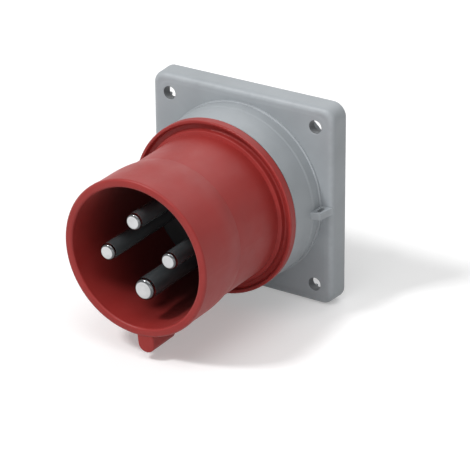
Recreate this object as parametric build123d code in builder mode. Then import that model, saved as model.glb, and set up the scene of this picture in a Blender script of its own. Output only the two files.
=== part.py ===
from build123d import *
import math
import os

# Pin and sleeve inlet for a panel, three poles and earth. Sizes are in millimetres.
# The origin is the centre of the mounting face, +Z is up, +X is to the right as seen
# from the front, and the sleeve points along -Y. A place "ahead" is in front of the
# mounting face, so that 10 ahead is Y = -10, and a place "behind" is inside the panel.

# Flange
plate_margin = 5.2
plate_depth = 8.0
plate_draft = 2.5
plate_corner_r = 5.0
plate_edge_r = 2.2
plate_wall = 3.2
skirt_wall = 2.3
field_inset = 2.6
field_rise = 0.12
field_slope = 83.0
field_corner_r = 5.0
hole_inset = 7.5
hole_d = 4.8
hole_chamfer = 0.2
nib_width = 1.0
nib_reach = 1.0
nib_distance = 3.8

# Collar of the housing
collar_front = 23.6
collar_bore_r = 29.8
collar_wall = 2.5
collar_draft = 0.4
collar_edge_r = 0.5
foot_ring_rise = 0.7
foot_ring_height = 1.0
foot_ring_edge_r = 0.45
step_ring_rise = 0.2
step_ring_height = 4.8
step_ring_slope = 0.8
gasket_width = 2.6
gasket_clearance = 0.1
gasket_edge_r = 0.6
groove_wall = 2.6
shelf_front = 9.5
shelf_thickness = 3.0
shelf_width = 5.8

# Eyelet on the collar
eyelet_thickness = 2.7
eyelet_height = -0.4
eyelet_length = 6.8
eyelet_wall = 1.0
eyelet_flare = 1.1
eyelet_slope = 1.1
eyelet_slot_length = 3.8
eyelet_slot_width = 1.4
eyelet_slot_gap = 0.4
eyelet_slot_middle = 2.9
eyelet_edge_r = 0.3
eyelet_root = 1.0

# Sleeve
key_turn = 6.6
quarter_turn = 90.0
mouth = 75.4
mouth_draft = 0.8
mouth_edge_r = 0.9
lip_length = 1.9
lip_rise = 0.2
lip_step = 0.1
shoulder_peak = 57.5
shoulder_rear = 51.8
shoulder_rise = 1.1
shoulder_r = 42.0
tube_draft = 0.15
tube_wall = 2.65
root_length = 0.4
root_ring_width = 1.25
root_ring_rise = 0.2
rim_height = 3.2
rim_overhang = 0.4
rim_edge_r = 0.5
rim_foot_r = 0.2
rim_lip_width = 1.25
rim_lip_edge_r = 0.35
rim_groove_depth = 1.7
rim_groove_draft = 0.2
rim_groove_edge_r = 0.6
floor_depth = 1.0
floor_lap = 0.4
spigot_clearance = 0.3
spigot_wall = 4.2
spigot_gap = 0.2
spigot_edge_r = 0.5
seat_clearance = 0.2
key_width = 6.5
key_height = 6.3
key_bury = 1.7
key_recess = 0.4
key_length = 13.4
key_edge_r = 0.5

# Seal between rim and collar
seal_thickness = 0.8
seal_width = 1.7
seal_recess = 0.2

# Pins and carrier
pin_circle_r = 12.5
pole_tip_depth = 1.7
pole_r = 3.0
pole_tip_round = 1.2
earth_tip_depth = 2.7
earth_r = 4.0
earth_tip_round = 1.5
pin_root_rise = 0.5
pin_root_length = 0.5
pin_root_cone = 0.5
pin_clearance = 0.05
pole_barrel_r = 4.7
earth_barrel_r = 5.4
pole_wire_r = 2.8
earth_wire_r = 3.1
wire_depth = 12.0
drill_angle = 59.0
stop_height = 3.0
neck_waist = 1.2
barrel_front = 3.0
barrel_rear = 11.0
barrel_edge_r = 0.3
carrier_skirt = 1.7
disc_thickness = 6.0
barrier_wall = 1.6
post_r = 3.0
post_offset = 4.5
terminal_behind = 5.6

# Retainer
retainer_thickness = 2.0
wire_entry_clearance = 0.4

# Screws
clamp_screw_r = 2.0
clamp_head_r = 2.7
clamp_head_height = 1.8
clamp_shank = 3.5
clamp_tip_gap = 0.1
slot_width = 0.8
tapping_core_r = 1.2
tapping_head_r = 2.4
tapping_head_height = 1.9
tapping_hole_r = 1.6
recess_width = 0.7
recess_length = 3.0
drive_depth = 1.0
head_edge_r = 0.4
tip_chamfer = 0.4
thread_clearance = 0.1
hole_run_out = 1.5
sleeve_screw_length = 12.0
sleeve_screw_inset = 2.2
sleeve_screw_turn = 45.0
sleeve_screw_count = 4
retainer_screw_length = 9.0

# Sizes of the housing that follow from the ones above
collar_foot_r = collar_bore_r + collar_wall
collar_front_r = collar_foot_r - collar_draft
foot_ring_r = collar_foot_r + foot_ring_rise
step_ring_r = collar_foot_r + step_ring_rise
plate_side = 2 * (collar_foot_r + plate_margin)
plate_front = plate_depth + field_rise
pocket_depth = plate_depth - plate_wall
pocket_side = plate_side - 2 * skirt_wall
pocket_corner_r = plate_corner_r - skirt_wall
field_side = plate_side - 2 * field_inset
hole_pitch = plate_side - 2 * hole_inset
nib_offset = hole_pitch / 2 - nib_distance
gasket_inner_r = collar_foot_r + gasket_clearance
gasket_outer_r = gasket_inner_r + gasket_width
groove_r = gasket_outer_r + gasket_clearance
groove_wall_r = groove_r + groove_wall
shelf_rear = shelf_front - shelf_thickness
shelf_inner_r = collar_bore_r - shelf_width
eyelet_slot_reach = foot_ring_r + eyelet_slot_gap + eyelet_slot_width / 2
eyelet_slot_ahead = plate_depth + eyelet_slot_middle
eyelet_reach = eyelet_slot_reach + eyelet_slot_width / 2 + eyelet_wall
eyelet_foot_reach = eyelet_reach + eyelet_flare
eyelet_front = plate_depth + eyelet_length

# Sizes of the sleeve and its seal that follow
seal_front = collar_front + seal_thickness
seal_outer_r = collar_front_r - seal_recess
rim_front = seal_front + rim_height
rim_groove_floor = rim_front - rim_groove_depth
root_ring_front = rim_front + root_ring_rise
root_front = root_ring_front + root_length
floor = rim_front - floor_depth
spigot_rear = shelf_front + spigot_gap
spigot_r = collar_bore_r - spigot_clearance
carrier_seat_r = spigot_r - spigot_wall
carrier_r = carrier_seat_r - seat_clearance
floor_r = carrier_r - floor_lap
mouth_inner_r = floor_r + mouth_draft
root_r = floor_r + tube_wall
root_ring_r = root_r + root_ring_width
waist_r = root_r - tube_draft
front_r = waist_r + shoulder_rise
lip_r = front_r + lip_rise
rim_r = collar_front_r + rim_overhang
rim_lip_r = rim_r - rim_lip_width
key_front = mouth - key_recess
key_rear = key_front - key_length
key_tip_r = front_r + key_height
key_root_r = front_r - key_bury

# Sizes of the pins, the carrier and the screws that follow
pole_tip = mouth - pole_tip_depth
earth_tip = mouth - earth_tip_depth
disc_rear = floor - disc_thickness
stop_rear = disc_rear - stop_height
pin_root_front = floor + pin_root_length
barrier_length = disc_rear + barrel_rear
post_circle_r = pin_circle_r + post_offset
post_turns = (key_turn + quarter_turn / 2, key_turn + 5 * quarter_turn / 2)
barrier_reach = post_circle_r + post_r
retainer_r = pin_circle_r - earth_wire_r - wire_entry_clearance
retainer_rear = barrel_rear + retainer_thickness
clamp_core_r = clamp_screw_r - thread_clearance
pilot_r = tapping_core_r + thread_clearance
sleeve_screw_circle_r = spigot_r - sleeve_screw_inset

# Each pole: turn, pin radius, tip, tip rounding, barrel radius and wire bore radius
poles = {
    "l1": (key_turn + quarter_turn, pole_r, pole_tip, pole_tip_round, pole_barrel_r, pole_wire_r),
    "l2": (key_turn + 2 * quarter_turn, pole_r, pole_tip, pole_tip_round, pole_barrel_r, pole_wire_r),
    "l3": (key_turn, pole_r, pole_tip, pole_tip_round, pole_barrel_r, pole_wire_r),
    "earth": (
        key_turn + 3 * quarter_turn, earth_r, earth_tip, earth_tip_round, earth_barrel_r,
        earth_wire_r,
    ),
}


def direction(turn):
    """Unit vector away from the axis, at an angle anticlockwise from +X seen from the front."""
    return Vector(math.cos(math.radians(turn)), 0, math.sin(math.radians(turn)))


def cross_plane(ahead, turn=0.0):
    """Plane across the axis that faces forward, turned about the axis."""
    return Plane(origin=(0, -ahead, 0), x_dir=direction(turn), z_dir=(0, -1, 0))


def polar(radius, turn):
    """Point of a plane across the axis."""
    return (radius * math.cos(math.radians(turn)), radius * math.sin(math.radians(turn)))


def outline(*corners):
    """Closed outline through corners given as radius, place ahead and rounding."""
    points = [(radius, -ahead) for radius, ahead, rounding in corners]
    FilletPolyline(*points, radius=[rounding for radius, ahead, rounding in corners], close=True)


def make_screw(seat, core_r, length, head_r, head_height, arms, arm_length, arm_width):
    """Screw with the underside of its head on the plane, its point on the plane's rear side."""
    along = Axis(seat.origin, seat.z_dir)
    with BuildPart() as screw:
        with BuildSketch(seat):
            Circle(head_r)
        extrude(amount=head_height)
        fillet(screw.faces().sort_by(along)[-1].edges(), head_edge_r)
        with BuildSketch(seat):
            Circle(core_r)
        extrude(amount=-length)
        chamfer(screw.faces().sort_by(along)[0].edges(), tip_chamfer)
        with BuildSketch(seat.offset(head_height)):
            with PolarLocations(0, arms, angular_range=180, endpoint=False):
                Rectangle(arm_length, arm_width)
        extrude(amount=-drive_depth, mode=Mode.SUBTRACT)
    return screw.part


def make_tapping_screw(seat, length):
    """Pan head screw for plastic, with a cross recess."""
    return make_screw(
        seat, tapping_core_r, length, tapping_head_r, tapping_head_height, 2, recess_length,
        recess_width,
    )


def write(part, name):
    """Label one finished piece and write it."""
    part.label = name
    export_step(part, f"parts/{name}.step")


os.makedirs("parts", exist_ok=True)


# Eyelet of the housing: a bar between collar and plate with an upright slot
with BuildPart() as eyelet:
    with BuildSketch(Plane.XY.offset(eyelet_height - eyelet_thickness / 2)):
        with BuildLine():
            Polyline(
                (collar_bore_r + eyelet_root, -plate_depth + eyelet_root),
                (collar_bore_r + eyelet_root, -eyelet_front),
                (collar_front_r, -eyelet_front),
                (eyelet_reach, -eyelet_front + eyelet_slope),
                (eyelet_foot_reach, -plate_depth + eyelet_root),
                close=True,
            )
        make_face()
        with Locations((eyelet_slot_reach, -eyelet_slot_ahead)):
            SlotOverall(eyelet_slot_length, eyelet_slot_width, rotation=90, mode=Mode.SUBTRACT)
    extrude(amount=eyelet_thickness)
    fillet(eyelet.edges().filter_by(Axis.Z).sort_by(Axis.X)[-2:], eyelet_edge_r)
    fillet(eyelet.faces().filter_by(Axis.Z).edges(), eyelet_edge_r)


# Housing: a drafted plate with a rounded border
with BuildPart() as flange_housing:
    with BuildSketch(cross_plane(0)):
        RectangleRounded(plate_side, plate_side, plate_corner_r)
    extrude(amount=plate_depth, taper=plate_draft)
    fillet(flange_housing.faces().sort_by(Axis.Y)[0].edges(), plate_edge_r)
    with BuildSketch(cross_plane(plate_depth)):
        RectangleRounded(field_side, field_side, field_corner_r)
    extrude(amount=field_rise, taper=field_slope)

    # Collar, with two shallow rings at its foot
    with BuildSketch(Plane.XY):
        with BuildLine():
            outline(
                (collar_bore_r, 0, 0),
                (collar_bore_r, collar_front, 0),
                (collar_front_r, collar_front, collar_edge_r),
                (collar_foot_r, plate_depth + step_ring_height + step_ring_slope, 0),
                (step_ring_r, plate_depth + step_ring_height, 0),
                (step_ring_r, plate_depth + foot_ring_height, 0),
                (foot_ring_r, plate_depth + foot_ring_height, foot_ring_edge_r),
                (foot_ring_r, pocket_depth, 0),
                (collar_foot_r, pocket_depth, 0),
                (collar_foot_r, 0, 0),
            )
        make_face()
    revolve(axis=Axis.Y)
    add(eyelet.part)

    # Pocket around the collar, with an outer wall for the panel gasket
    with BuildSketch(cross_plane(0)):
        RectangleRounded(pocket_side, pocket_side, pocket_corner_r)
        Circle(collar_foot_r, mode=Mode.SUBTRACT)
    extrude(amount=pocket_depth, mode=Mode.SUBTRACT)
    with BuildSketch(cross_plane(0)):
        Circle(groove_wall_r)
        Rectangle(pocket_side, pocket_side, mode=Mode.INTERSECT)
        Circle(groove_r, mode=Mode.SUBTRACT)
    extrude(amount=pocket_depth)

    # Nibs on the inside of the skirt, two beside each corner
    with BuildSketch(cross_plane(0)):
        with GridLocations(pocket_side - nib_reach, 2 * nib_offset, 2, 2):
            Rectangle(nib_reach, nib_width)
        with GridLocations(2 * nib_offset, pocket_side - nib_reach, 2, 2):
            Rectangle(nib_width, nib_reach)
    extrude(amount=pocket_depth)

    # Bore, and inside it a shelf for the sleeve's screws
    with BuildSketch(cross_plane(0)):
        Circle(collar_bore_r)
    extrude(amount=collar_front, mode=Mode.SUBTRACT)
    with BuildSketch(cross_plane(shelf_rear)):
        Circle(collar_bore_r)
        Circle(shelf_inner_r, mode=Mode.SUBTRACT)
        with PolarLocations(sleeve_screw_circle_r, sleeve_screw_count, start_angle=sleeve_screw_turn):
            Circle(tapping_hole_r, mode=Mode.SUBTRACT)
    extrude(amount=shelf_thickness)

    # Fixing holes of the flange
    with BuildSketch(cross_plane(0)):
        with GridLocations(hole_pitch, hole_pitch, 2, 2):
            Circle(hole_d / 2)
    extrude(amount=plate_front, mode=Mode.SUBTRACT)
    circles = flange_housing.edges().filter_by(GeomType.CIRCLE)
    hole_rims = circles.filter_by(lambda rim: abs(rim.radius - hole_d / 2) < hole_chamfer)
    chamfer(hole_rims.filter_by_position(Axis.Y, -plate_front, -plate_depth), hole_chamfer)

write(flange_housing.part, "flange_housing")


# Rubber ring that seals the flange to the panel
with BuildPart() as panel_gasket:
    with BuildSketch(Plane.XY):
        with BuildLine():
            outline(
                (gasket_inner_r, 0, gasket_edge_r),
                (gasket_inner_r, pocket_depth, 0),
                (gasket_outer_r, pocket_depth, 0),
                (gasket_outer_r, 0, gasket_edge_r),
            )
        make_face()
    revolve(axis=Axis.Y)

write(panel_gasket.part, "panel_gasket")


# Key rib of the sleeve: a bar with a round back, under the tube
with BuildPart() as key_rib:
    with BuildSketch(cross_plane(key_rear, key_turn)):
        with Locations((0, -(key_root_r + key_tip_r - key_width / 2) / 2)):
            Rectangle(key_width, key_tip_r - key_width / 2 - key_root_r)
        with Locations((0, -(key_tip_r - key_width / 2))):
            Circle(key_width / 2)
    extrude(amount=key_front - key_rear)
    fillet(key_rib.faces().filter_by(Axis.Y).edges(), key_edge_r)


# Sleeve: the tube around the pins, its rim in front of the collar and its spigot inside
with BuildPart() as sleeve:
    with BuildSketch(Plane.XY):
        with BuildLine():
            outline(
                (mouth_inner_r, mouth, mouth_edge_r),
                (lip_r, mouth, mouth_edge_r),
                (lip_r, mouth - lip_length, 0),
                (front_r, mouth - lip_length - lip_step, 0),
                (front_r, shoulder_peak, shoulder_r),
                (waist_r, shoulder_rear, 0),
                (root_r, root_front, 0),
                (root_ring_r, root_ring_front, rim_lip_edge_r),
                (root_ring_r + rim_groove_draft, rim_groove_floor, rim_groove_edge_r),
                (rim_lip_r - rim_groove_draft, rim_groove_floor, rim_groove_edge_r),
                (rim_lip_r, rim_front, rim_lip_edge_r),
                (rim_r, rim_front, rim_edge_r),
                (rim_r, seal_front, rim_foot_r),
                (spigot_r, seal_front, 0),
                (spigot_r, spigot_rear, spigot_edge_r),
                (carrier_seat_r, spigot_rear, 0),
                (carrier_seat_r, floor, 0),
                (floor_r, floor, 0),
            )
        make_face()
    revolve(axis=Axis.Y)
    add(key_rib.part)

    # Blind holes for the screws that come through the shelf
    with BuildSketch(cross_plane(spigot_rear)):
        with PolarLocations(sleeve_screw_circle_r, sleeve_screw_count, start_angle=sleeve_screw_turn):
            Circle(pilot_r)
    extrude(amount=sleeve_screw_length - shelf_thickness + hole_run_out, mode=Mode.SUBTRACT)

write(sleeve.part, "sleeve")


# Seal between the sleeve's rim and the collar
with BuildPart() as sleeve_seal:
    with BuildSketch(cross_plane(collar_front)):
        Circle(seal_outer_r)
        Circle(seal_outer_r - seal_width, mode=Mode.SUBTRACT)
    extrude(amount=seal_thickness)

write(sleeve_seal.part, "sleeve_seal")


# Carrier: disc, skirt, a cross of barriers between the poles, and two screw posts
with BuildPart() as pin_carrier:
    with BuildSketch(cross_plane(shelf_front)):
        Circle(carrier_r)
    extrude(amount=floor - shelf_front)
    with BuildSketch(cross_plane(shelf_front)):
        Circle(carrier_r - carrier_skirt)
    extrude(amount=disc_rear - shelf_front, mode=Mode.SUBTRACT)
    with BuildSketch(cross_plane(-barrel_rear)):
        with PolarLocations(0, 2, start_angle=post_turns[0], angular_range=180, endpoint=False):
            Rectangle(2 * barrier_reach, barrier_wall)
        with Locations(*[polar(post_circle_r, turn) for turn in post_turns]):
            Circle(post_r)
    extrude(amount=barrier_length)

    # Holes of the pins
    for turn, radius, tip, tip_round, barrel_r, wire_r in poles.values():
        with BuildSketch(cross_plane(disc_rear)):
            with Locations(polar(pin_circle_r, turn)):
                Circle(radius + pin_root_rise + pin_clearance)
        extrude(amount=disc_thickness, mode=Mode.SUBTRACT)

    # Blind holes of the retainer's screws
    with BuildSketch(cross_plane(-barrel_rear)):
        with Locations(*[polar(post_circle_r, turn) for turn in post_turns]):
            Circle(pilot_r)
    extrude(amount=retainer_screw_length + hole_run_out, mode=Mode.SUBTRACT)

write(pin_carrier.part, "pin_carrier")


# Pins: shaft with a slightly thicker root in the carrier's disc, stop behind the disc,
# waist, and barrel with wire bore
for name, (turn, radius, tip, tip_round, barrel_r, wire_r) in poles.items():
    foot = direction(turn) * pin_circle_r
    along = Axis(foot, (0, 1, 0))
    bore_end = wire_depth - barrel_rear
    with BuildPart() as pin:
        with BuildSketch(Plane(origin=foot, x_dir=direction(turn), z_dir=direction(turn + quarter_turn))):
            with BuildLine():
                outline(
                    (0, tip, 0),
                    (radius, tip, tip_round),
                    (radius, pin_root_front + pin_root_cone, 0),
                    (radius + pin_root_rise, pin_root_front, 0),
                    (radius + pin_root_rise, disc_rear, 0),
                    (barrel_r, disc_rear, barrel_edge_r),
                    (barrel_r, stop_rear, barrel_edge_r),
                    (barrel_r - neck_waist, stop_rear, 0),
                    (barrel_r - neck_waist, barrel_front, 0),
                    (barrel_r, barrel_front, barrel_edge_r),
                    (barrel_r, -barrel_rear, barrel_edge_r),
                    (wire_r, -barrel_rear, barrel_edge_r),
                    (wire_r, bore_end, 0),
                    (0, bore_end + wire_r / math.tan(math.radians(drill_angle)), 0),
                )
            make_face()
        revolve(axis=along)
        with BuildSketch(Plane(origin=foot + Vector(0, terminal_behind, 0), z_dir=direction(turn))):
            Circle(clamp_screw_r)
        extrude(amount=barrel_r, mode=Mode.SUBTRACT)
    write(pin.part, f"pin_{name}")

    # Terminal screw, backed off so that its point is level with the wall of the wire bore
    head_seat = foot + direction(turn) * (wire_r + clamp_tip_gap + clamp_shank)
    seat = Plane(origin=head_seat + Vector(0, terminal_behind, 0), z_dir=direction(turn))
    terminal_screw = make_screw(
        seat, clamp_core_r, clamp_shank, clamp_head_r, clamp_head_height, 1, 2 * clamp_head_r,
        slot_width,
    )
    write(terminal_screw, f"terminal_screw_{name}")


# Retainer: a plate with two arms that laps the inner side of each barrel's end
with BuildPart() as pin_retainer:
    with BuildSketch(cross_plane(-retainer_rear)):
        Circle(retainer_r)
        with PolarLocations(post_circle_r / 2, 2, start_angle=post_turns[0]):
            Rectangle(post_circle_r, 2 * post_r)
        with Locations(*[polar(post_circle_r, turn) for turn in post_turns]):
            Circle(post_r)
            Circle(tapping_hole_r, mode=Mode.SUBTRACT)
    extrude(amount=retainer_thickness)

write(pin_retainer.part, "pin_retainer")


# Screws of the retainer and of the sleeve
for number, turn in enumerate(post_turns, start=1):
    place = direction(turn) * post_circle_r + Vector(0, retainer_rear, 0)
    retainer_screw = make_tapping_screw(
        Plane(origin=place, x_dir=direction(turn), z_dir=(0, 1, 0)), retainer_screw_length
    )
    write(retainer_screw, f"retainer_screw_{number}")

for number in range(sleeve_screw_count):
    turn = sleeve_screw_turn + number * 360 / sleeve_screw_count
    place = direction(turn) * sleeve_screw_circle_r + Vector(0, -shelf_rear, 0)
    sleeve_screw = make_tapping_screw(
        Plane(origin=place, x_dir=direction(turn), z_dir=(0, 1, 0)), sleeve_screw_length
    )
    write(sleeve_screw, f"sleeve_screw_{number + 1}")
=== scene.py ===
# %% [markdown]
# # A pin and sleeve inlet
#
# The object is the inlet of an industrial power connector, made to be screwed to a panel.
# A square grey flange carries a round collar, and out of the collar comes a red sleeve
# with a key rib underneath. Inside the sleeve stand four round pins with bright tips.
#
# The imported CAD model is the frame: every piece has its place there already, in metres,
# with the sleeve pointing along -Y and +Z up. So this lesson first loads the frame, then
# gives every piece its finish, models again those pieces that need more than the solids
# have, and ends with the floor, the lamps and the camera.

import bmesh
import bpy
import math
from mathutils import Matrix, Vector


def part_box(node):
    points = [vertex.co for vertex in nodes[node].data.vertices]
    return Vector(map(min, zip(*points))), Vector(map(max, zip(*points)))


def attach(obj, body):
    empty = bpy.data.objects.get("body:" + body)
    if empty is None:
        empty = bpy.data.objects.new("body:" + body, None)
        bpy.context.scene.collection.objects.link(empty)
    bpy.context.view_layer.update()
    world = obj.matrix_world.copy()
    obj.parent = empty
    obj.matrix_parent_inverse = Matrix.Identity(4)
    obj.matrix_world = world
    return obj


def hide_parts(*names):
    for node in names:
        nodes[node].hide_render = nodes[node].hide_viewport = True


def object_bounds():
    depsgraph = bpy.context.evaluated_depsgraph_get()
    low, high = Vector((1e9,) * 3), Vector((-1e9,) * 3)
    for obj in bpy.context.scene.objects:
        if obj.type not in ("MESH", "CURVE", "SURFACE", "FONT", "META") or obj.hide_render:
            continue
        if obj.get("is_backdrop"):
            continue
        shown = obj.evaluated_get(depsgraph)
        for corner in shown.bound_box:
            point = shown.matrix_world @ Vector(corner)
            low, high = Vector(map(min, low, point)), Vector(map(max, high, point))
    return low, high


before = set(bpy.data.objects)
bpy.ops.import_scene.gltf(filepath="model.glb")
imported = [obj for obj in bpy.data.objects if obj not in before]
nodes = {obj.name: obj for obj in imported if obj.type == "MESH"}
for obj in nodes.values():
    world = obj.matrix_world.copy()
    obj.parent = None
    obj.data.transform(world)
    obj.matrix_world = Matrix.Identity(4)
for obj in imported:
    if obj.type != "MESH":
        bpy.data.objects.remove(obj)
cad_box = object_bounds()
print("CAD nodes:", len(nodes))

# %% [markdown]
# ## Shader maths in Python
#
# A finish is a small network of nodes. It could be wired node by node, but written as
# plain sums such as `1 - mask` it stays readable. So a class wraps an output socket and
# turns each operator into a Math node.

# %% Sockets that can be added and multiplied
class Wire:
    """An output socket on which Python's operators add Math nodes."""

    def __init__(self, network, socket):
        self.network = network
        self.socket = socket

    def math(self, operation, first, second=0.0):
        return self.network.node("ShaderNodeMath", {"operation": operation}, {0: first, 1: second})

    def __add__(self, other):
        return self.math("ADD", self, other)

    def __radd__(self, other):
        return self.math("ADD", other, self)

    def __sub__(self, other):
        return self.math("SUBTRACT", self, other)

    def __rsub__(self, other):
        return self.math("SUBTRACT", other, self)

    def __mul__(self, other):
        return self.math("MULTIPLY", self, other)

    def __rmul__(self, other):
        return self.math("MULTIPLY", other, self)

    def __pow__(self, other):
        return self.math("POWER", self, other)

    def __rpow__(self, other):
        return self.math("POWER", other, self)

    def __abs__(self):
        return self.math("ABSOLUTE", self)

    def larger(self, other):
        """The larger of two values."""
        return self.math("MAXIMUM", self, other)

    def beside(self, output):
        """Another output of the node that this wire comes from."""
        return Wire(self.network, self.socket.node.outputs[output])


def diagonal(first, second):
    """The distance that two distances at right angles make, as wires."""
    return (first * first + second * second) ** 0.5


print("a wire takes + - * ** and abs, with wires or numbers")

# %% [markdown]
# Any node that isn't a sum comes from one method of the network: its type, its settings,
# which come first because some of them change the sockets, and then its sockets. The other
# methods are the few patterns that all the finishes below are made of.
#
# The patterns read the Object coordinates. Every piece has its place in its mesh, so those
# are the metres of the frame, and a pattern keeps its scale on every piece.

# %% Networks of nodes
class Network:
    """The nodes of a finish or of the world, with the shader that they feed."""

    def __init__(self, owner, shader="Principled BSDF"):
        owner.use_nodes = True
        self.owner = owner
        self.tree = owner.node_tree
        self.shader = self.tree.nodes[shader]

    def node(self, kind, settings=None, sockets=None, output=0):
        """Adds a node: its type, its settings, then values or wires by socket."""
        added = self.tree.nodes.new(kind)
        for setting, value in (settings or {}).items():
            setattr(added, setting, value)
        for socket, value in (sockets or {}).items():
            self.plug(added.inputs[socket], value)
        return Wire(self, added.outputs[output])

    def plug(self, socket, value):
        """Links a wire to a socket, or sets the socket to a value."""
        if isinstance(value, Wire):
            self.tree.links.new(value.socket, socket)
        elif hasattr(value, "__len__") and len(value) == 3 and socket.type == "RGBA":
            socket.default_value = (*value, 1)
        else:
            socket.default_value = value

    def set(self, **sockets):
        """Sets the main shader's sockets, named with underscores for spaces."""
        for name, value in sockets.items():
            self.plug(self.shader.inputs[name.replace("_", " ")], value)

    def place(self):
        """The point of the surface in the frame, in metres."""
        return self.node("ShaderNodeTexCoord", output="Object")

    def axes(self):
        """The same point as three numbers."""
        x = self.node("ShaderNodeSeparateXYZ", {}, {"Vector": self.place()})
        return x, x.beside("Y"), x.beside("Z")

    def noise(self, size, detail, stretch=(1, 1, 1)):
        """Cloudy noise whose lumps are about this size; a low stretch makes them longer."""
        point = self.node("ShaderNodeMapping", {}, {"Vector": self.place(), "Scale": stretch})
        return self.node(
            "ShaderNodeTexNoise", {}, {"Vector": point, "Scale": 1 / size, "Detail": detail}
        )

    def ramp(self, value, low, high, start=0.0, end=1.0):
        """Moves smoothly from start to end while the value goes from low to high."""
        return self.node(
            "ShaderNodeMapRange",
            {"interpolation_type": "SMOOTHSTEP"},
            {"Value": value, "From Min": low, "From Max": high, "To Min": start, "To Max": end},
        )

    def mix(self, factor, first, second):
        """Colour between two colours."""
        return self.node(
            "ShaderNodeMix", {"data_type": "RGBA"}, {0: factor, 6: first, 7: second}, output=2
        )

    def bump(self, height, depth):
        """Presses a height into the surface, depth in metres."""
        relief = self.node("ShaderNodeBump", {}, {"Height": height, "Distance": depth})
        self.set(Normal=relief)


print("patterns of a network: noise, ramp, mix and bump")

# %% [markdown]
# ## Finishes of the mouldings
#
# The sleeve and the flange are moulded in coloured plastic with a fine satin surface. What
# tells such a moulding from a flat colour is small: a trace of cloudiness in the colour,
# faint long streaks where the plastic flowed, a roughness that varies by a few percent, the
# grain that the spark-eroded mould leaves, and a surface that is slightly uneven. A picture
# of plastic could be wrapped around the piece, but noise has no seams.
#
# Colours are judged and written as a picture's numbers, from 0 to 255. Nodes count
# in amounts of light, so each colour is converted first.

# %% Colours
def srgb(red, green, blue):
    """A colour as read from a picture, 0 to 255, as the linear colour that nodes take."""
    return tuple(
        ((part / 255 + 0.055) / 1.055) ** 2.4 if part > 10 else part / 3295
        for part in (red, green, blue)
    )


def shade(colour, factor, lift=0.0):
    """A darker or lighter copy of a colour, with some white added."""
    return tuple(min(1.0, factor * part + lift) for part in colour)


print("a picture's mid grey is", round(srgb(128, 128, 128)[0], 3), "in a node")

# %% [markdown]
# One function makes every moulded plastic. The black parts and the rubber need no more than
# that. The sleeve and the flange also have edges that are paler and smoother, partly worn by
# hands and tools and partly a painted highlight, and places where shade is painted into the
# colour: both are given to the function as lists and rules for where they are.

# %% Moulded plastic
CLOUD, STREAK, PATCH, WEAR_AND_HIGHLIGHT_PATCH = 0.016, 0.007, 0.005, 0.0025
GRAIN, WAVE, RELIEF = 0.00032, 0.0035, 0.00001
ALONG_SLEEVE = (1, 0.18, 1)


def moulded(name, colour, roughness, specular=0.5, sheen=0.0, pale=1.06, edges=(), inside=None):
    """Satin moulded plastic: cloudy colour, fine grain, worn edges lightened by a painted
    highlight, and painted shade where given.
    """
    finish = Network(bpy.data.materials.new(name))
    cloud = finish.ramp(finish.noise(CLOUD, 3.0), 0.3, 0.7)
    flow = finish.ramp(finish.noise(STREAK, 2.0, ALONG_SLEEVE), 0.35, 0.65)
    body = finish.mix(cloud, shade(colour, 0.94), shade(colour, 1.05))
    body = finish.mix(0.3 * flow, body, shade(colour, 1.0, 0.012))
    rough = finish.ramp(finish.noise(PATCH, 3.0), 0.3, 0.7, roughness - 0.03, roughness + 0.03)
    worn_and_highlit = None
    for distance, size, ahead, reach in edges:
        near = finish.ramp(distance(finish, size, ahead), 0.0, reach, 1.0, 0.0)
        worn_and_highlit = worn_and_highlit.larger(near) if worn_and_highlit else near
    # Wear and painted highlight: near the edges the colour gets lighter and the surface smoother.
    if worn_and_highlit:
        patchy_wear_and_highlight = worn_and_highlit * finish.ramp(finish.noise(WEAR_AND_HIGHLIGHT_PATCH, 3.0), 0.25, 0.7, 0.35, 1.0)
        body = finish.mix(0.4 * patchy_wear_and_highlight, body, shade(colour, pale, 0.012))
        rough = rough - 0.10 * patchy_wear_and_highlight
    # Painted shade: the colour gets darker wherever the given rule says.
    if inside:
        body = finish.mix(inside(finish), body, shade(colour, 0.35, 0.004))
    finish.set(Base_Color=body, Roughness=rough)
    finish.set(Specular_IOR_Level=specular, Sheen_Weight=sheen, Sheen_Roughness=0.45)
    finish.set(Sheen_Tint=(1.0, 0.97, 0.90))
    finish.bump(finish.noise(GRAIN, 1.0) + 3.0 * finish.noise(WAVE, 1.0), RELIEF)
    return finish.owner


black_plastic = moulded("black_plastic", srgb(38, 41, 43), roughness=0.5)
rubber = moulded("rubber", srgb(24, 24, 25), roughness=0.75, specular=0.3)
print("plain mouldings:", black_plastic.name, rubber.name)

# %% [markdown]
# The edges, worn and lightened by a painted highlight, could be marked on the mesh, but its
# vertices are too far apart there. Where an edge is round, its distance from any point follows
# from its radius and its depth alone, so the sleeve's lip, mouth and rim are a line each.
#
# The inside of the sleeve gets darker from its mouth to the carrier. Little light reaches it,
# and a painted shade, a deeper red in the colour, helps the lamps to show that.

# %% Red sleeve
MOUTH = 0.0754
LIP_RADIUS, MOUTH_RADIUS = 0.0283, 0.0255
RIM_RADIUS, RIM_FRONT = 0.0323, 0.0276
WALL_RADIUS = 0.0261
DIM_FROM, DIM_TO = -0.0745, -0.045


def to_ring(finish, radius, ahead):
    """Distance from a circle about the axis, in metres, at a place ahead of the panel."""
    x, y, z = finish.axes()
    return diagonal(diagonal(x, z) - radius, y + ahead)


def painted_shade_deep_inside(finish):
    """Painted shade inside the sleeve, from 0 at its mouth to 1 near the carrier."""
    x, y, z = finish.axes()
    outward = diagonal(x, z) - WALL_RADIUS
    return finish.ramp(outward, -0.0002, 0.0002, 1.0, 0.0) * finish.ramp(y, DIM_FROM, DIM_TO)


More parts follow.
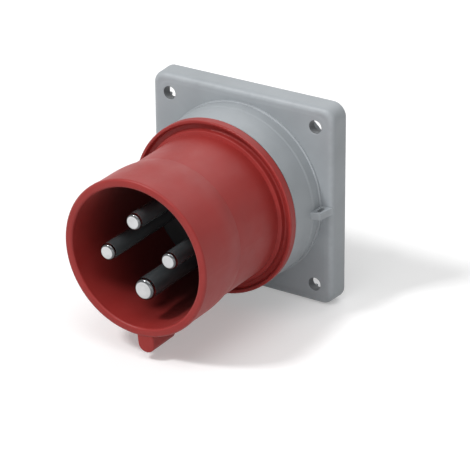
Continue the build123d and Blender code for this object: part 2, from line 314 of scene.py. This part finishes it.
red_plastic = moulded(
    "red_plastic", srgb(146, 41, 38), roughness=0.46, specular=0.27, sheen=0.04,
    # Worn edges of the sleeve, lightened by a painted highlight.
    edges=(
        (to_ring, LIP_RADIUS, MOUTH, 0.0009),
        (to_ring, MOUTH_RADIUS, MOUTH, 0.0007),
        (to_ring, RIM_RADIUS, RIM_FRONT, 0.0012),
    ),
    # Painted shade: the red gets darker deep in the sleeve.
    inside=painted_shade_deep_inside,
)
print("sleeve:", red_plastic.name)

# %% [markdown]
# Round the square plate of the flange, the larger of the two distances from its middle
# takes the radius's place. The flange's edges are paler than the sleeve's, from wear and a
# stronger painted highlight. The four screw holes look dark when one looks into them at a
# slant, so shade is painted into the colour wherever a point is on the wall of a hole.

# %% Grey flange
PLATE_HALF, PLATE_FRONT = 0.0375, 0.008
COLLAR_RADIUS, COLLAR_FRONT = 0.0319, 0.0236
HOLE_PLACE, HOLE_RADIUS = 0.030, 0.0024


def to_square(finish, half, ahead):
    """Distance from the border of a square about the axis, in metres."""
    x, y, z = finish.axes()
    return diagonal(abs(x).larger(abs(z)) - half, y + ahead)


def painted_shade_in_screw_holes(finish):
    """Painted shade: 1 on the wall of one of the flange's four holes, and else 0."""
    x, _, z = finish.axes()
    outward = diagonal(abs(x) - HOLE_PLACE, abs(z) - HOLE_PLACE) - HOLE_RADIUS
    return finish.ramp(outward, 0.00002, 0.00012, 1.0, 0.0)


grey_plastic = moulded(
    # The grey's edges get a stronger painted highlight than the red's.
    "grey_plastic", srgb(154, 159, 163), roughness=0.48, specular=0.35, sheen=0.04, pale=1.35,
    edges=(
        (to_square, PLATE_HALF - 0.001, PLATE_FRONT, 0.0022),
        (to_ring, COLLAR_RADIUS, COLLAR_FRONT, 0.001),
    ),
    # Painted shade on the walls of the four screw holes.
    inside=painted_shade_in_screw_holes,
)
print("flange:", grey_plastic.name)

# %% [markdown]
# ## Finish of the pins
#
# The pins are turned from brass and nickel plated. Their tips are bright, with a painted dark
# reflection in a ring on the rounding of each tip, and the shafts behind them are dark. The
# lathe's tool leaves faint rings, which could be modelled, but they are less than a
# thousandth of a millimetre deep, so they belong in the relief of the finish.

# %% Pins, bright at the tip
PHASE_TIP, PHASE_ROUNDING = 0.0737, 0.0012
EARTH_TIP, EARTH_ROUNDING = 0.0727, 0.0015
DARK_SHAFT_END = 0.0205
RING_WIDTH, RING_DEPTH = 0.00012, 0.0000008


def pin_finish(name, tip, rounding):
    """Bright nickel on the tip, with a painted dark reflection on its rounding, and a dark shaft.
    """
    finish = Network(bpy.data.materials.new(name))
    _, y, _ = finish.axes()
    behind = y + tip
    # Painted dark reflection: a ring of dark colour on the rounding of the tip.
    face_end = finish.ramp(behind, 0.00002, 0.00014)
    band_end = finish.ramp(behind, 0.65 * rounding, 0.9 * rounding)
    painted_reflection_ring = face_end * (1 - band_end)
    # Behind the rounding of the tip the shaft is dark.
    past_the_tip = finish.ramp(behind, rounding + 0.0003, rounding + 0.0005)
    rear = finish.ramp(y + DARK_SHAFT_END, 0.0, 0.0005)
    dark = past_the_tip * (1 - rear)
    smudge = finish.ramp(finish.noise(0.004, 2.0, (1, 0.3, 1)), 0.3, 0.7)
    nickel = finish.mix(smudge, srgb(186, 187, 188), srgb(198, 199, 200))
    # The painted dark reflection on the rounding of the tip.
    nickel = finish.mix(0.85 * painted_reflection_ring, nickel, srgb(50, 52, 55))
    dark_shaft_colour = finish.mix(smudge, srgb(60, 64, 66), srgb(72, 76, 78))
    finish.set(Base_Color=finish.mix(dark, nickel, dark_shaft_colour), Metallic=1 - dark)
    finish.set(Roughness=finish.ramp(dark, 0, 1, 0.16, 0.22) + 0.03 * smudge)
    lathe = {"W": y, "Scale": 1 / RING_WIDTH, "Detail": 1.0}
    rings = finish.node("ShaderNodeTexNoise", {"noise_dimensions": "1D"}, lathe)
    finish.bump(rings, RING_DEPTH)
    return finish.owner


phase_pin = pin_finish("phase_pin", PHASE_TIP, PHASE_ROUNDING)
earth_pin = pin_finish("earth_pin", EARTH_TIP, EARTH_ROUNDING)
print("pins:", phase_pin.name, earth_pin.name)

# %% [markdown]
# ## Finish of the screws
#
# Bright zinc plating on steel is metallic but mottled: small patches differ in brightness
# and in gloss, and larger stains are duller. One even grey would look like foil.

# %% Zinc-plated steel
MOTTLE, STAIN = 0.0009, 0.004
PLATING_GRAIN, PLATING_RELIEF = 0.00018, 0.000004


def plated(name, colour, roughness):
    """Zinc-plated steel, faintly mottled."""
    finish = Network(bpy.data.materials.new(name))
    mottle = finish.ramp(finish.noise(MOTTLE, 4.0), 0.3, 0.7)
    stain = finish.ramp(finish.noise(STAIN, 2.0), 0.45, 0.75)
    body = finish.mix(mottle, shade(colour, 0.82), colour)
    rough = finish.ramp(mottle, 0, 1, roughness - 0.05, roughness + 0.08)
    finish.set(Base_Color=finish.mix(0.35 * stain, body, shade(colour, 0.8, -0.02)))
    finish.set(Metallic=1.0, Roughness=rough + 0.1 * stain)
    finish.bump(finish.noise(PLATING_GRAIN, 2.0), PLATING_RELIEF)
    return finish.owner


zinc = plated("zinc_steel", srgb(196, 198, 196), roughness=0.28)
print("screws:", zinc.name)

# %% [markdown]
# ## Dressing the CAD pieces
#
# The solids of the mouldings, the rubber and the pins have their full shape already, so
# they stay as they are and only change their material. The screws get theirs as well,
# though pieces that are modelled below will stand for them.

# %% Give the CAD nodes their finish
finishes = {
    "flange_housing": grey_plastic,
    "sleeve": red_plastic,
    "pin_carrier": black_plastic,
    "pin_retainer": black_plastic,
    "sleeve_seal": rubber,
    "panel_gasket": rubber,
    "pin_l1": phase_pin,
    "pin_l2": phase_pin,
    "pin_l3": phase_pin,
    "pin_earth": earth_pin,
}
for name, piece in nodes.items():
    piece.data.materials.clear()
    piece.data.materials.append(finishes.get(name, zinc))
print("finished nodes:", len(nodes), "of which screws:", len(nodes) - len(finishes))

# %% [markdown]
# ## Screws with real threads
#
# Ten screws hold the inlet together: two in the retainer, four that draw the sleeve into
# the housing, and one in the barrel of each pin that clamps its wire. The solids have them
# with plain shanks, which is enough to weigh and to collide, but not to look at.
#
# They are of three kinds. The clamp screw has a fine thread and a slot. The other two have
# a coarse thread that cuts its own way into plastic, a round head and a cross. Each kind
# is modelled once, with the underside of its head at height 0 and its point below.

# %% The three kinds of screw
FINE_THREAD = {"core": 0.00155, "crest": 0.0019, "pitch": 0.0007, "flat": 0.0001}
COARSE_THREAD = {"core": 0.00085, "crest": 0.0012, "pitch": 0.0011, "flat": 0.00012}
CLAMP_HEAD = {"radius": 0.0027, "height": 0.0018, "rounding": 0.0004}
ROUND_HEAD = {"radius": 0.0024, "height": 0.0019, "rounding": 0.0008}
SLOT = ({"length": 0.007, "width": 0.0008, "taper": 1.0, "turn": 0},)
CROSS = (
    {"length": 0.003, "width": 0.0007, "taper": 0.72, "turn": 0},
    {"length": 0.003, "width": 0.0007, "taper": 0.72, "turn": 90},
)
kinds = {
    "clamp_screw": {"head": CLAMP_HEAD, "length": 0.0035, "thread": FINE_THREAD, "arms": SLOT},
    "short_screw": {"head": ROUND_HEAD, "length": 0.009, "thread": COARSE_THREAD, "arms": CROSS},
    "long_screw": {"head": ROUND_HEAD, "length": 0.012, "thread": COARSE_THREAD, "arms": CROSS},
}
for name, kind in kinds.items():
    print(name, "length", round(1000 * kind["length"], 1), "mm below its head")

# %% [markdown]
# A turned part is drawn as half of its outline and spun about its axis. The outline could
# be a curve, but here one vertex is pulled along the corners, as one would draw it by hand.

# %% Draw the outlines of the heads
def deselect():
    """An operator acts on all that is selected, so everything is let go first."""
    bpy.ops.object.select_all(action="DESELECT")


def draw_outline(name, corners):
    """Pulls one vertex along corners given as radius and height; each pull leaves an edge."""
    deselect()
    bpy.ops.mesh.primitive_plane_add(size=0.001)
    piece = bpy.context.object
    piece.name = name
    bpy.ops.object.mode_set(mode="EDIT")
    bpy.ops.mesh.merge(type="CENTER")
    here = Vector((corners[0][0], 0, corners[0][1]))
    bpy.ops.transform.translate(value=here)
    for radius, height in corners[1:]:
        there = Vector((radius, 0, height))
        bpy.ops.mesh.extrude_vertices_move(TRANSFORM_OT_translate={"value": there - here})
        here = there
    bpy.ops.object.mode_set(mode="OBJECT")
    return piece


screws = {}
for name, kind in kinds.items():
    radius, height = kind["head"]["radius"], kind["head"]["height"]
    screws[name] = draw_outline(name, [(0, 0), (radius, 0), (radius, height), (0, height)])
    print(name, "outline of", len(screws[name].data.vertices), "vertices")

# %% [markdown]
# The corners of a head are rounded while each is still a single vertex, which is simpler
# than a bevel along a ring of edges later. The underside gets only a trace of rounding.

# %% Round the corners of the heads
UNDERSIDE_ROUNDING = 0.0001


def pick(piece):
    """Makes one piece the selected and active one."""
    deselect()
    piece.select_set(True)
    bpy.context.view_layer.objects.active = piece


def select_vertices(piece, wanted):
    """In edit mode, selects the vertices whose place passes the test."""
    bpy.ops.mesh.select_mode(type="VERT")
    bpy.ops.mesh.select_all(action="DESELECT")
    shape = bmesh.from_edit_mesh(piece.data)
    for vertex in shape.verts:
        vertex.select = wanted(vertex.co)
    shape.select_flush_mode()
    bmesh.update_edit_mesh(piece.data)


def round_corner(piece, radius, height, size):
    """Rounds one corner of an outline that isn't spun yet."""
    corner = Vector((radius, 0, height))
    pick(piece)
    bpy.ops.object.mode_set(mode="EDIT")
    select_vertices(piece, lambda place: (place - corner).length < 1e-6)
    bpy.ops.mesh.bevel(affect="VERTICES", offset=size, segments=6, profile=0.5)
    bpy.ops.object.mode_set(mode="OBJECT")


for name, piece in screws.items():
    head = kinds[name]["head"]
    round_corner(piece, head["radius"], 0, UNDERSIDE_ROUNDING)
    round_corner(piece, head["radius"], head["height"], head["rounding"])
    print(name, "outline now of", len(piece.data.vertices), "vertices")

# %% [markdown]
# The spin leaves the vertices of its seam and of its two poles double, so they are merged,
# and only then are the faces turned outwards.

# %% Spin the heads
MERGE_WITHIN = 1e-7
HEAD_SIDES = 48


def merge_doubles():
    """In edit mode, merges vertices that lie on each other."""
    bpy.ops.mesh.select_all(action="SELECT")
    bpy.ops.mesh.remove_doubles(threshold=MERGE_WITHIN)


def spin_round(piece, sides):
    """Spins an outline once about the upright axis and closes the seam and the poles."""
    pick(piece)
    bpy.ops.object.mode_set(mode="EDIT")
    bpy.ops.mesh.select_all(action="SELECT")
    bpy.ops.mesh.spin(steps=sides, angle=2 * math.pi, center=(0, 0, 0), axis=(0, 0, 1))
    merge_doubles()
    bpy.ops.mesh.normals_make_consistent(inside=False)
    bpy.ops.object.mode_set(mode="OBJECT")


for name, piece in screws.items():
    spin_round(piece, HEAD_SIDES)
    print(name, "head of", len(piece.data.polygons), "faces")

# %% [markdown]
# A thread is one profile that climbs as it turns. The Screw modifier does that: it turns an
# outline one pitch high about the axis and lifts it by the pitch at every turn. The ends of
# such a helix are ragged, so it is made longer than the shank, to be cut off.

# %% Wind the helices
THREAD_SIDES = 32
STARTS_BELOW = 1.413
SPARE_TURNS = 4
INTO_HEAD = 0.0003


def apply_modifier(piece, kind, **settings):
    """Adds a modifier, sets it and applies it at once."""
    modifier = piece.modifiers.new("step", kind)
    for setting, value in settings.items():
        setattr(modifier, setting, value)
    pick(piece)
    bpy.ops.object.modifier_apply(modifier=modifier.name)


def helix(low, high, core, crest, pitch, flat):
    """A thread's profile wound about its core, from below one height to above another."""
    base = low - STARTS_BELOW * pitch
    rise = base + 0.25 * pitch
    shank = draw_outline("thread", [
        (core, base), (crest, rise - flat / 2), (crest, rise + flat / 2),
        (core, base + 0.75 * pitch), (core, base + pitch),
    ])
    turns = math.ceil((high - low) / pitch) + SPARE_TURNS
    apply_modifier(
        shank, "SCREW", axis="Z", angle=2 * math.pi, screw_offset=pitch, iterations=turns,
        steps=THREAD_SIDES, render_steps=THREAD_SIDES,
        use_merge_vertices=True, merge_threshold=MERGE_WITHIN,
    )
    return shank


shanks = {}
for name, kind in kinds.items():
    shanks[name] = helix(-kind["length"], INTO_HEAD, **kind["thread"])
    print(name, "helix of", len(shanks[name].data.polygons), "faces")

# %% [markdown]
# Two planes cut each helix off and close its ends, one at the point of the screw and one
# just inside its head. A plane that passes exactly through a vertex leaves an open edge,
# which is why the profile starts at an odd fraction of the pitch.

# %% Cut the helices to length
def cut_to_length(shank, low, high):
    """Cuts a helix off at two heights, closes it and turns its faces outwards."""
    pick(shank)
    bpy.ops.object.mode_set(mode="EDIT")
    merge_doubles()
    for height, top in ((low, False), (high, True)):
        bpy.ops.mesh.select_all(action="SELECT")
        bpy.ops.mesh.bisect(
            plane_co=(0, 0, height), plane_no=(0, 0, 1), threshold=1e-8, use_fill=True,
            clear_inner=not top, clear_outer=top,
        )
    bpy.ops.mesh.select_all(action="SELECT")
    bpy.ops.mesh.normals_make_consistent(inside=False)
    bpy.ops.object.mode_set(mode="OBJECT")


for name, shank in shanks.items():
    cut_to_length(shank, -kinds[name]["length"], INTO_HEAD)
    print(name, "shank of", len(shank.data.polygons), "faces")

# %% [markdown]
# The point is tapered by keeping only what the thread has in common with a blank, which is
# a plain rod with a bevelled end. Where two surfaces lie on each other, an exact cut leaves
# gaps. So the blank is a little wider than the thread and has another number of sides.

# %% Taper the points and join the shanks to the heads
BLANK_SIDES = 31
BLANK_WIDER, BLANK_TALLER = 0.0001, 0.001


def combine(piece, other, operation):
    """Joins or cuts two closed shapes, and throws the second one away."""
    apply_modifier(piece, "BOOLEAN", operation=operation, object=other, solver="EXACT")
    bpy.data.objects.remove(other)


def blank_rod(low, high, core, crest):
    """A plain rod with a bevelled lower end, round which a thread would be cut."""
    bevel = 1.2 * (crest - core) + 0.0002
    wide, tall = crest + BLANK_WIDER, high + BLANK_TALLER
    rod = draw_outline("blank", [
        (0, low), (wide - bevel, low), (wide, low + bevel), (wide, tall), (0, tall),
    ])
    spin_round(rod, BLANK_SIDES)
    return rod


for name, piece in screws.items():
    length, thread = kinds[name]["length"], kinds[name]["thread"]
    rod = blank_rod(-length, INTO_HEAD, thread["core"], thread["crest"])
    combine(shanks[name], rod, "INTERSECT")
    combine(piece, shanks[name], "UNION")
    print(name, "with its shank of", len(piece.data.polygons), "faces")

# %% [markdown]
# The slot and the two arms of the cross are cut out of the heads with blocks. The arms of a
# real cross get narrower downwards, so the lower end of such a block is scaled down.

# %% Cut the driver's recesses
RECESS_DEPTH = 0.001


def recess_block(top, length, width, taper, turn):
    """A block that cuts one arm of a driver's recess, narrower at its bottom."""
    deselect()
    bpy.ops.mesh.primitive_cube_add(
        size=1, location=(0, 0, top), scale=(length, width, 2 * RECESS_DEPTH)
    )
    block = bpy.context.object
    bpy.ops.object.transform_apply(location=True, rotation=True, scale=True)
    bpy.ops.object.mode_set(mode="EDIT")
    select_vertices(block, lambda place: place.z < top)
    bpy.ops.transform.resize(value=(taper, taper, 1))
    bpy.ops.mesh.select_all(action="SELECT")
    bpy.ops.transform.rotate(
        value=math.radians(turn), orient_axis="Z", center_override=(0, 0, 0)
    )
    bpy.ops.object.mode_set(mode="OBJECT")
    return block


for name, piece in screws.items():
    for arm in kinds[name]["arms"]:
        combine(piece, recess_block(kinds[name]["head"]["height"], **arm), "DIFFERENCE")
    print(name, "with its recess of", len(piece.data.polygons), "faces")

# %% [markdown]
# The cuts leave some vertices that all but coincide. They are merged, and then the edges
# that don't have exactly two faces are counted, because a closed mesh has none. Faces that
# meet at a blunt angle are shaded as one smooth surface.

# %% Close the screws and measure them
SMOOTH_BELOW = math.radians(32)

for name, piece in screws.items():
    pick(piece)
    bpy.ops.object.mode_set(mode="EDIT")
    merge_doubles()
    bpy.ops.object.mode_set(mode="OBJECT")
    bpy.ops.object.shade_smooth_by_angle(angle=SMOOTH_BELOW)
    shape = bmesh.new()
    shape.from_mesh(piece.data)
    open_edges = sum(len(edge.link_faces) != 2 for edge in shape.edges)
    volume = round(shape.calc_volume(signed=True) * 1e9, 1)
    print(name, "faces", len(shape.faces), "open edges", open_edges, "volume mm3", volume)
    shape.free()

# %% [markdown]
# Each screw is copied with its own mesh and stood on its seat, head outwards. The place and
# the turn are then applied, because a finished piece has its place in its mesh. Screws that
# a person has tightened never stop at the same angle, so each slot is turned differently.
#
# A clamp screw sits in the side of a pin's barrel and faces away from the middle of the
# inlet, where a screwdriver reaches it once the wire is in.

# %% Put the clamp screws in the barrels of the pins
KEY_TURN = 6.6
PIN_CIRCLE = 0.0125
BARREL_WALL = 0.0036
TERMINAL_BEHIND = 0.0056
REAR = Vector((0, 1, 0))


def away(turn):
    """Unit vector away from the axis, anticlockwise from +X as seen from the front."""
    return Vector((math.cos(math.radians(turn)), 0, math.sin(math.radians(turn))))


def seat_screw(pattern, node, seat, outward, turn):
    """A copy of a screw, stood on its seat, that stands for a CAD node."""
    pick(pattern)
    bpy.ops.object.duplicate()
    copy = bpy.context.object
    copy.name = "threaded_" + node
    stand = outward.to_track_quat("Z", "Y").to_matrix().to_4x4()
    own_turn = Matrix.Rotation(math.radians(turn), 4, "Z")
    copy.matrix_world = Matrix.Translation(seat) @ stand @ own_turn
    bpy.ops.object.transform_apply(location=True, rotation=True, scale=True)
    copy.data.materials.append(zinc)
    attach(copy, "root")
    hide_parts(node)
    return copy


poles = (
    ("l1", 90, 0.0028, 12), ("l2", 180, 0.0028, 75),
    ("l3", 0, 0.0028, 140), ("earth", 270, 0.0031, 40),
)
threaded = {}
for pole, turn, wire_radius, slot_turn in poles:
    outward = away(KEY_TURN + turn)
    seat = outward * (PIN_CIRCLE + wire_radius + BARREL_WALL) + REAR * TERMINAL_BEHIND
    node = "terminal_screw_" + pole
    threaded[node] = seat_screw(screws["clamp_screw"], node, seat, outward, slot_turn)
print("seated:", ", ".join(threaded))

# %% [markdown]
# The two short screws press the retainer onto the posts of the carrier. The four long ones
# go through the shelf of the housing and draw the sleeve into it. All of their heads face
# the rear. Then the patterns have done their work and are removed.

# %% Put in the screws of the retainer and of the sleeve
RETAINER_CIRCLE, RETAINER_BACK = 0.017, 0.013
SLEEVE_CIRCLE, SHELF_BACK = 0.0273, 0.0065

for number, turn, slot_turn in ((1, 45, 20), (2, 225, 65)):
    seat = away(KEY_TURN + turn) * RETAINER_CIRCLE + REAR * RETAINER_BACK
    node = f"retainer_screw_{number}"
    threaded[node] = seat_screw(screws["short_screw"], node, seat, REAR, slot_turn)
for number, slot_turn in enumerate((10, 52, 31, 77)):
    seat = away(45 + 90 * number) * SLEEVE_CIRCLE - REAR * SHELF_BACK
    node = f"sleeve_screw_{number + 1}"
    threaded[node] = seat_screw(screws["long_screw"], node, seat, REAR, slot_turn)
for pattern in screws.values():
    bpy.data.objects.remove(pattern)
print("seated in all:", len(threaded))

# %% [markdown]
# A screw should be as large as the solid that it stands for. So its mesh is held against
# the box of that solid, and the smallest of the six gaps is printed: 0 means that the screw
# just fills the box, and less than 0 that it stands out, by some hundredths of a millimetre
# at the heads of the clamp screws, whose flats lie at another angle than the solid's.

# %% Hold each screw against its solid
for node, piece in threaded.items():
    low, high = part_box(node)
    places = [vertex.co for vertex in piece.data.vertices]
    gaps = [min(place[n] for place in places) - low[n] for n in range(3)]
    gaps += [high[n] - max(place[n] for place in places) for n in range(3)]
    print(node, "smallest gap to its solid's box", round(1000 * min(gaps), 2) + 0.0, "mm")

# %% [markdown]
# ## The floor
#
# The inlet stands on the lower edge of its flange, on a pale paper floor. A white floor
# could be had with more light alone, but then the object would be too bright as well. So
# the paper also glows a little, and more so farther out, where the lamps reach it less.
# Only the camera and polished metal see that glow, so it lights nothing: it lifts the
# paper to white everywhere and leaves the soft shadow round the object. The Light Path
# node tells these kinds of ray apart.

# %% Floor
FLOOR = -0.0375
FLOOR_SIZE = 6.0
NEAR_GLOW, FAR_GLOW = (0.30, 0.30, 0.30), (0.48, 0.48, 0.48)


def seen_directly(network):
    """1 where the camera sees a surface, also mirrored or through glass, and else 0."""
    camera_ray = network.node("ShaderNodeLightPath", output="Is Camera Ray")
    seen = camera_ray.larger(camera_ray.beside("Is Glossy Ray"))
    return seen.larger(camera_ray.beside("Is Transmission Ray"))


deselect()
bpy.ops.mesh.primitive_plane_add(size=FLOOR_SIZE, location=(0, 0, FLOOR))
floor = bpy.context.object
floor.name = "floor"
paper = Network(bpy.data.materials.new("floor_paper"))
paper.set(Base_Color=(0.78, 0.78, 0.78), Roughness=0.9, Specular_IOR_Level=0.1)
x, y, _ = paper.axes()
glow = paper.mix(paper.ramp(diagonal(x, y), 0.09, 0.28), NEAR_GLOW, FAR_GLOW)
glow = paper.mix(seen_directly(paper), (0, 0, 0), glow)
paper.set(Emission_Color=glow, Emission_Strength=1.0)
floor.data.materials.append(paper.owner)
floor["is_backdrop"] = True
print("floor at", round(1000 * FLOOR, 1), "mm")

# %% [markdown]
# ## The world
#
# Round the object is a white room. The camera and polished metal see it as plain white,
# but as a lamp it is dim, or it would wash out every shadow.

# %% World
AMBIENT = 0.20
world = bpy.data.worlds.new("studio")
bpy.context.scene.world = world
sky = Network(world, "Background")
sky.set(Color=(1, 1, 1), Strength=AMBIENT + (1 - AMBIENT) * seen_directly(sky))
print("light from all around:", AMBIENT)

# %% [markdown]
# ## The lamps
#
# The light comes from five soft boxes. The key box at the front left throws the shadow
# that falls to the back right. A small box close above makes the top of the flange brighter
# than its foot, because light from nearby fades within the size of the object. A wide
# box behind draws a sheen along the top of the sleeve. Two low boxes in front and on the
# right shine into the sleeve, where the pins would stand in the dark otherwise.
#
# A lamp's brightness in watts depends on its distance. Here each lamp is given a level
# instead, at which 1 would light a white card to white, so lamps can be compared.

# %% Lamps
LIT_POINT = Vector((0, -0.03, 0))


def lamp(name, azimuth, elevation, distance, size, level):
    """A square soft box aimed at the object; a level of 1 lights a white card to white."""
    turn, rise = math.radians(azimuth), math.radians(elevation)
    ahead = Vector((math.sin(turn), -math.cos(turn), 0))
    way = math.cos(rise) * ahead + Vector((0, 0, math.sin(rise)))
    deselect()
    bpy.ops.object.light_add(type="AREA", location=LIT_POINT + distance * way)
    box = bpy.context.object
    box.name = name
    box.rotation_euler = way.to_track_quat("Z", "Y").to_euler()
    box.data.size = size
    box.data.energy = level * (math.pi * distance) ** 2
    print(name, "at", azimuth, elevation, "degrees, level", level)


lamp("key_box", azimuth=-36, elevation=53, distance=3.0, size=0.5, level=0.56)
lamp("top_box", azimuth=26, elevation=66, distance=0.4, size=0.25, level=0.34)
lamp("back_box", azimuth=184, elevation=42, distance=3.0, size=2.7, level=0.32)
lamp("front_box", azimuth=22, elevation=6, distance=3.0, size=1.6, level=0.15)
lamp("side_box", azimuth=50, elevation=8, distance=3.0, size=1.6, level=0.07)

# %% [markdown]
# ## The camera
#
# The camera looks from the right and from above, as in the photo, with a long lens. It
# could be aimed by eye, but its angles, its distance and its lens were fitted to points
# that can be seen in the photo, such as the corners and holes of the flange and the
# tips of the pins, so the picture can be laid over the photo.

# %% Camera
AZIMUTH = math.radians(32.671)
ELEVATION = math.radians(25.347)
ROLL = math.radians(-0.554)
DISTANCE = 0.9275
SIDE_SHIFT = -0.006749
UP_SHIFT = -0.019452
FOCAL_PIXELS = 2608.1
PICTURE = 470
SENSOR = 36.0

back_way = Vector((
    math.sin(AZIMUTH) * math.cos(ELEVATION),
    -math.cos(AZIMUTH) * math.cos(ELEVATION),
    math.sin(ELEVATION),
))
flat_way = Vector((math.cos(AZIMUTH), math.sin(AZIMUTH), 0))
upright = back_way.cross(flat_way)
right_way = math.cos(ROLL) * flat_way + math.sin(ROLL) * upright
up_way = math.cos(ROLL) * upright - math.sin(ROLL) * flat_way
stand = DISTANCE * back_way + SIDE_SHIFT * right_way + UP_SHIFT * up_way
aim = Matrix((right_way, up_way, back_way)).transposed().to_4x4()

bpy.ops.object.camera_add()
camera = bpy.context.object
camera.matrix_world = Matrix.Translation(stand) @ aim
camera.data.sensor_width = SENSOR
camera.data.lens = SENSOR * FOCAL_PIXELS / PICTURE
camera.data.clip_start = 0.01
bpy.context.scene.camera = camera
bpy.context.scene.view_settings.view_transform = "Standard"
print("lens", round(camera.data.lens, 1), "mm")

# %% [markdown]
# ## Sizes
#
# The scene is meant to stay within the CAD solids, so the box round the CAD pieces and the
# box round all that is visible now are printed side by side.

# %% Sizes
low, high = cad_box
seen_low, seen_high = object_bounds()
for box, near_corner, far_corner in (("CAD", low, high), ("visual", seen_low, seen_high)):
    print(box, "box", [round(1000 * (far_corner[n] - near_corner[n]), 2) for n in range(3)], "mm")
